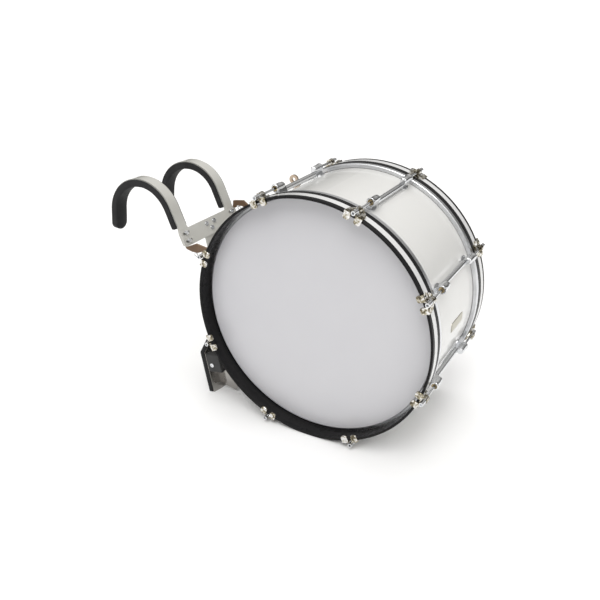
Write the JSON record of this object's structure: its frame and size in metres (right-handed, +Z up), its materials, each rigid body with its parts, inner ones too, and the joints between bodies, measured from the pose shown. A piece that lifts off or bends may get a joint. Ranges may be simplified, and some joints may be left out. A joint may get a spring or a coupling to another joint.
{
  "type": "marching bass drum",
  "caption": "Marching bass drum with claw-hooked rims and tension rods, hooked onto a padded shoulder carrier with a belly plate.",
  "frame": {"origin": "on the floor under the middle of the overall box, half way between the drum's far side and the back of the shoulder arms", "axes": "+X from the player towards the drum, across the drum's axis; +Y along the drum's axis from the front head to the rear head; +Z up from the floor"},
  "size_m": [0.982, 0.402, 0.634],
  "materials": {
    "white_wrap": "glossy white plastic covering over wood plies",
    "white_film": "smooth white polyester film",
    "black_lacquer": "glossy black lacquer over wood",
    "white_inlay": "glossy white strip",
    "satin_aluminium": "satin",
    "chrome": "mirror polished",
    "steel": "zinc plated",
    "brass_nut": "machined",
    "white_paint": "gloss white powder coat",
    "black_foam": "closed-cell foam, matt",
    "black_rubber": "matt",
    "brown_rubber": "soft brown coating over steel",
    "black_plastic": "moulded, satin",
    "silver_plate": "brushed, blank"
  },
  "bodies": {
    "carrier": {"crossbar": "white_paint", "spine_plate": "white_paint", "centre_bolts": "chrome", "carrier_hook_front": "brown_rubber", "carrier_hook_rear": "brown_rubber", "hook_screw_front": "chrome", "hook_screw_rear": "chrome"},
    "drum": {"shell": "white_wrap", "lug_tubes": "chrome", "lug_ends_front": "chrome", "lug_ends_rear": "chrome", "swivel_nuts": "brass_nut", "lug_screws": "steel", "badge_plate": "silver_plate", "sling_eye": "chrome", "head_front": "white_film", "flesh_hoop_front": "satin_aluminium", "hoop_front": "black_lacquer", "hoop_inlay_front": "white_inlay", "claws_front": "chrome", "rod_washers_front": "steel", "head_rear": "white_film", "flesh_hoop_rear": "satin_aluminium", "hoop_rear": "black_lacquer", "hoop_inlay_rear": "white_inlay", "claws_rear": "chrome", "rod_washers_rear": "steel"},
    "belly_support": {"height_bar": "white_paint", "belly_plate": "chrome", "belly_pad": "black_foam", "belly_plate_screws": "chrome", "drum_rests": "chrome", "rest_bumpers": "black_rubber", "rest_blocks": "black_plastic", "rest_screws": "chrome", "rest_rivets": "steel"},
    "shoulder_front": {"shoulder_arm_front": "white_paint", "shoulder_pad_front": "black_foam", "arm_bolts_front": "chrome"},
    "shoulder_rear": {"shoulder_arm_rear": "white_paint", "shoulder_pad_rear": "black_foam", "arm_bolts_rear": "chrome"},
    "wing_upper": {"wing_bolt_upper": "chrome"},
    "wing_lower": {"wing_bolt_lower": "chrome"},
    "rod_front_1": {"tension_rod_front_1": "chrome"},
    "rod_front_2": {"tension_rod_front_2": "chrome"},
    "rod_front_3": {"tension_rod_front_3": "chrome"},
    "rod_front_4": {"tension_rod_front_4": "chrome"},
    "rod_front_5": {"tension_rod_front_5": "chrome"},
    "rod_front_6": {"tension_rod_front_6": "chrome"},
    "rod_front_7": {"tension_rod_front_7": "chrome"},
    "rod_front_8": {"tension_rod_front_8": "chrome"},
    "rod_rear_1": {"tension_rod_rear_1": "chrome"},
    "rod_rear_2": {"tension_rod_rear_2": "chrome"},
    "rod_rear_3": {"tension_rod_rear_3": "chrome"},
    "rod_rear_4": {"tension_rod_rear_4": "chrome"},
    "rod_rear_5": {"tension_rod_rear_5": "chrome"},
    "rod_rear_6": {"tension_rod_rear_6": "chrome"},
    "rod_rear_7": {"tension_rod_rear_7": "chrome"},
    "rod_rear_8": {"tension_rod_rear_8": "chrome"}
  },
  "joints": [
    {"name": "drum_lift_off", "type": "slide", "parent": "carrier", "child": "drum", "axis": [0.5, 0, 0.866], "range_m": [0, 0.15]},
    {"name": "belly_height", "type": "slide", "parent": "carrier", "child": "belly_support", "axis": [0.1736, 0, -0.9848], "range_m": [0, 0.055]},
    {"name": "shoulder_width_front", "type": "slide", "parent": "carrier", "child": "shoulder_front", "axis": [0, -1, 0], "range_m": [-0.011, 0.011]},
    {"name": "shoulder_width_rear", "type": "slide", "parent": "carrier", "child": "shoulder_rear", "axis": [0, 1, 0], "range_m": [-0.011, 0.011]},
    {"name": "wing_upper_turn", "type": "hinge", "parent": "carrier", "child": "wing_upper", "pos_m": [-0.20802, 0, 0.30306], "axis": [0.9848, 0, 0.1736], "continuous": true},
    {"name": "wing_lower_turn", "type": "hinge", "parent": "carrier", "child": "wing_lower", "pos_m": [-0.20107, 0, 0.26367], "axis": [0.9848, 0, 0.1736], "continuous": true},
    {"name": "rod_turn_front_1", "type": "hinge", "parent": "drum", "child": "rod_front_1", "pos_m": [0.29834, -0.15, 0.61726], "axis": [0, -1, 0], "continuous": true},
    {"name": "rod_turn_front_2", "type": "hinge", "parent": "drum", "child": "rod_front_2", "pos_m": [0.47423, -0.15, 0.44137], "axis": [0, -1, 0], "continuous": true},
    {"name": "rod_turn_front_3", "type": "hinge", "parent": "drum", "child": "rod_front_3", "pos_m": [0.47423, -0.15, 0.19263], "axis": [0, -1, 0], "continuous": true},
    {"name": "rod_turn_front_4", "type": "hinge", "parent": "drum", "child": "rod_front_4", "pos_m": [0.29834, -0.15, 0.01674], "axis": [0, -1, 0], "continuous": true},
    {"name": "rod_turn_front_5", "type": "hinge", "parent": "drum", "child": "rod_front_5", "pos_m": [0.0496, -0.15, 0.01674], "axis": [0, -1, 0], "continuous": true},
    {"name": "rod_turn_front_6", "type": "hinge", "parent": "drum", "child": "rod_front_6", "pos_m": [-0.12629, -0.15, 0.19263], "axis": [0, -1, 0], "continuous": true},
    {"name": "rod_turn_front_7", "type": "hinge", "parent": "drum", "child": "rod_front_7", "pos_m": [-0.12629, -0.15, 0.44137], "axis": [0, -1, 0], "continuous": true},
    {"name": "rod_turn_front_8", "type": "hinge", "parent": "drum", "child": "rod_front_8", "pos_m": [0.0496, -0.15, 0.61726], "axis": [0, -1, 0], "continuous": true},
    {"name": "rod_turn_rear_1", "type": "hinge", "parent": "drum", "child": "rod_rear_1", "pos_m": [0.29834, 0.15, 0.61726], "axis": [0, 1, 0], "continuous": true},
    {"name": "rod_turn_rear_2", "type": "hinge", "parent": "drum", "child": "rod_rear_2", "pos_m": [0.47423, 0.15, 0.44137], "axis": [0, 1, 0], "continuous": true},
    {"name": "rod_turn_rear_3", "type": "hinge", "parent": "drum", "child": "rod_rear_3", "pos_m": [0.47423, 0.15, 0.19263], "axis": [0, 1, 0], "continuous": true},
    {"name": "rod_turn_rear_4", "type": "hinge", "parent": "drum", "child": "rod_rear_4", "pos_m": [0.29834, 0.15, 0.01674], "axis": [0, 1, 0], "continuous": true},
    {"name": "rod_turn_rear_5", "type": "hinge", "parent": "drum", "child": "rod_rear_5", "pos_m": [0.0496, 0.15, 0.01674], "axis": [0, 1, 0], "continuous": true},
    {"name": "rod_turn_rear_6", "type": "hinge", "parent": "drum", "child": "rod_rear_6", "pos_m": [-0.12629, 0.15, 0.19263], "axis": [0, 1, 0], "continuous": true},
    {"name": "rod_turn_rear_7", "type": "hinge", "parent": "drum", "child": "rod_rear_7", "pos_m": [-0.12629, 0.15, 0.44137], "axis": [0, 1, 0], "continuous": true},
    {"name": "rod_turn_rear_8", "type": "hinge", "parent": "drum", "child": "rod_rear_8", "pos_m": [0.0496, 0.15, 0.61726], "axis": [0, 1, 0], "continuous": true}
  ]
}
